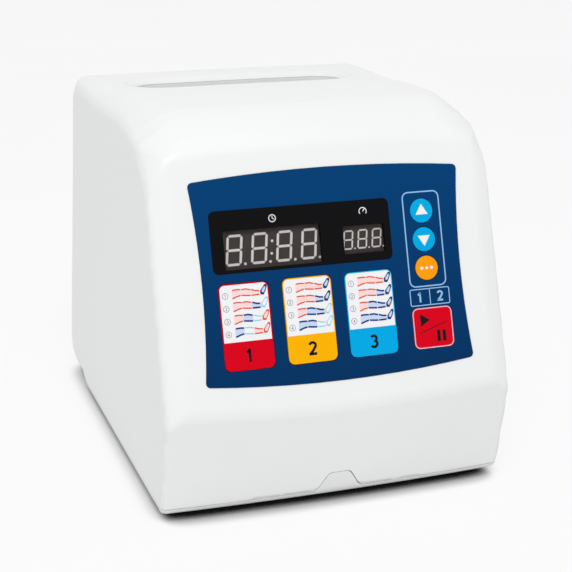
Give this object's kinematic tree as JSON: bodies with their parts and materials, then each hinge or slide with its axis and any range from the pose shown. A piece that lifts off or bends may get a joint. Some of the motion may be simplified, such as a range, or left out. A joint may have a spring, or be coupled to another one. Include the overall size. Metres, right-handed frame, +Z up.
{
  "type": "compression therapy pump",
  "caption": "Table-top air pump for compression sleeves: white moulded housing with a grip slot, a sloping blue key panel with LED displays, and hose sockets at the back.",
  "frame": {"origin": "on the table, under the middle of the pump", "axes": "+X to the right and -Y to the front, as the person at the panel sees it; +Z up"},
  "size_m": [0.1828, 0.2657, 0.1972],
  "materials": {
    "case_white": "satin moulded plastic",
    "tray_white": "satin moulded plastic",
    "panel_blue": "printed film, satin",
    "window_dark": "smoked clear plastic",
    "display_grey": "grey display face",
    "key_red": "printed film, satin",
    "key_yellow": "printed film, satin",
    "key_cyan": "printed film, satin",
    "key_orange": "printed film, satin",
    "indicator_blue": "printed film, satin",
    "board_green": "circuit board lacquer",
    "black_plastic": "moulded plastic",
    "socket_grey": "moulded plastic",
    "steel": "plated",
    "plated_steel": "zinc plated sheet",
    "rubber": "soft",
    "core_iron": "laminated, lacquered",
    "winding": "enamelled copper wire",
    "magnet_grey": "ferrite",
    "felt_white": "felt",
    "hose_clear": "silicone",
    "manifold_grey": "moulded plastic",
    "motor_metal": "can of a small gear motor",
    "part_blue": "capacitor sleeve"
  },
  "bodies": {
    "housing": {"main_cover": "case_white", "base_tray": "tray_white", "handle_cup": "case_white", "fascia": "panel_blue", "display_window": "window_dark", "time_display": "display_grey", "pressure_display": "display_grey", "zone_indicator": "indicator_blue", "control_board": "board_green", "key_switches": "black_plastic", "board_screws": "steel", "rear_panel": "tray_white", "rear_screws": "steel", "mains_inlet": "black_plastic", "inlet_pins": "steel", "rocker_bezel": "black_plastic", "hose_socket_1": "socket_grey", "hose_socket_2": "socket_grey", "feet": "rubber", "base_screws": "steel", "rubber_mounts": "rubber", "compressor_base": "plated_steel", "compressor_core": "core_iron", "compressor_coil": "winding", "pivot_pins": "steel", "pump_head_left": "black_plastic", "pump_head_right": "black_plastic", "diaphragm_left": "rubber", "diaphragm_right": "rubber", "air_filter": "felt_white", "feed_hoses": "hose_clear", "air_manifold": "manifold_grey", "valve_motor": "motor_metal", "port_tubes": "hose_clear", "power_board": "board_green", "transformer_core": "core_iron", "transformer_coil": "winding", "power_parts": "part_blue", "pressure_sensor": "black_plastic", "sense_hose": "hose_clear"},
    "mode_key_1": {"mode_key_1": "key_red"},
    "mode_key_2": {"mode_key_2": "key_yellow"},
    "mode_key_3": {"mode_key_3": "key_cyan"},
    "up_key": {"up_key": "key_cyan"},
    "down_key": {"down_key": "key_cyan"},
    "select_key": {"select_key": "key_orange"},
    "start_key": {"start_key": "key_red"},
    "power_rocker": {"power_rocker": "black_plastic"},
    "fuse_drawer": {"fuse_drawer": "black_plastic"},
    "valve_rotor": {"valve_rotor": "manifold_grey"},
    "swing_arm_left": {"swing_arm_left": "plated_steel", "magnet_left": "magnet_grey"},
    "swing_arm_right": {"swing_arm_right": "plated_steel", "magnet_right": "magnet_grey"}
  },
  "joints": [
    {"name": "mode_key_1_press", "type": "slide", "parent": "housing", "child": "mode_key_1", "axis": [0, 0.9571, -0.2899], "range_m": [0, 0.0005], "stiffness_N_per_m": 1500},
    {"name": "mode_key_2_press", "type": "slide", "parent": "housing", "child": "mode_key_2", "axis": [0, 0.9571, -0.2899], "range_m": [0, 0.0005], "stiffness_N_per_m": 1500},
    {"name": "mode_key_3_press", "type": "slide", "parent": "housing", "child": "mode_key_3", "axis": [0, 0.9571, -0.2899], "range_m": [0, 0.0005], "stiffness_N_per_m": 1500},
    {"name": "up_key_press", "type": "slide", "parent": "housing", "child": "up_key", "axis": [0, 0.9571, -0.2899], "range_m": [0, 0.0005], "stiffness_N_per_m": 1500},
    {"name": "down_key_press", "type": "slide", "parent": "housing", "child": "down_key", "axis": [0, 0.9571, -0.2899], "range_m": [0, 0.0005], "stiffness_N_per_m": 1500},
    {"name": "select_key_press", "type": "slide", "parent": "housing", "child": "select_key", "axis": [0, 0.9571, -0.2899], "range_m": [0, 0.0005], "stiffness_N_per_m": 1500},
    {"name": "start_key_press", "type": "slide", "parent": "housing", "child": "start_key", "axis": [0, 0.9571, -0.2899], "range_m": [0, 0.0005], "stiffness_N_per_m": 1500},
    {"name": "power_rocker_tilt", "type": "hinge", "parent": "housing", "child": "power_rocker", "pos_m": [-0.04, 0.11947, 0.06181], "axis": [-1, 0, 0], "range_deg": [0, 16]},
    {"name": "fuse_drawer_slide", "type": "slide", "parent": "housing", "child": "fuse_drawer", "axis": [0, 0.9736, 0.2284], "range_m": [0, 0.018]},
    {"name": "valve_rotor_turn", "type": "hinge", "parent": "housing", "child": "valve_rotor", "pos_m": [0, 0.05727, 0.12118], "axis": [0, 0.9736, 0.2284], "continuous": true},
    {"name": "swing_arm_left_turn", "type": "hinge", "parent": "housing", "child": "swing_arm_left", "pos_m": [-0.025, 0.048, 0.0463], "axis": [0, 0, 1], "range_deg": [-1.5, 1.5], "stiffness_Nm_per_rad": 2},
    {"name": "swing_arm_right_turn", "type": "hinge", "parent": "housing", "child": "swing_arm_right", "pos_m": [0.025, 0.048, 0.0463], "axis": [0, 0, 1], "range_deg": [-1.5, 1.5], "stiffness_Nm_per_rad": 2}
  ],
  "couplings": [
    {"joint": "swing_arm_right_turn", "follows": "swing_arm_left_turn", "ratio": -1}
  ]
}
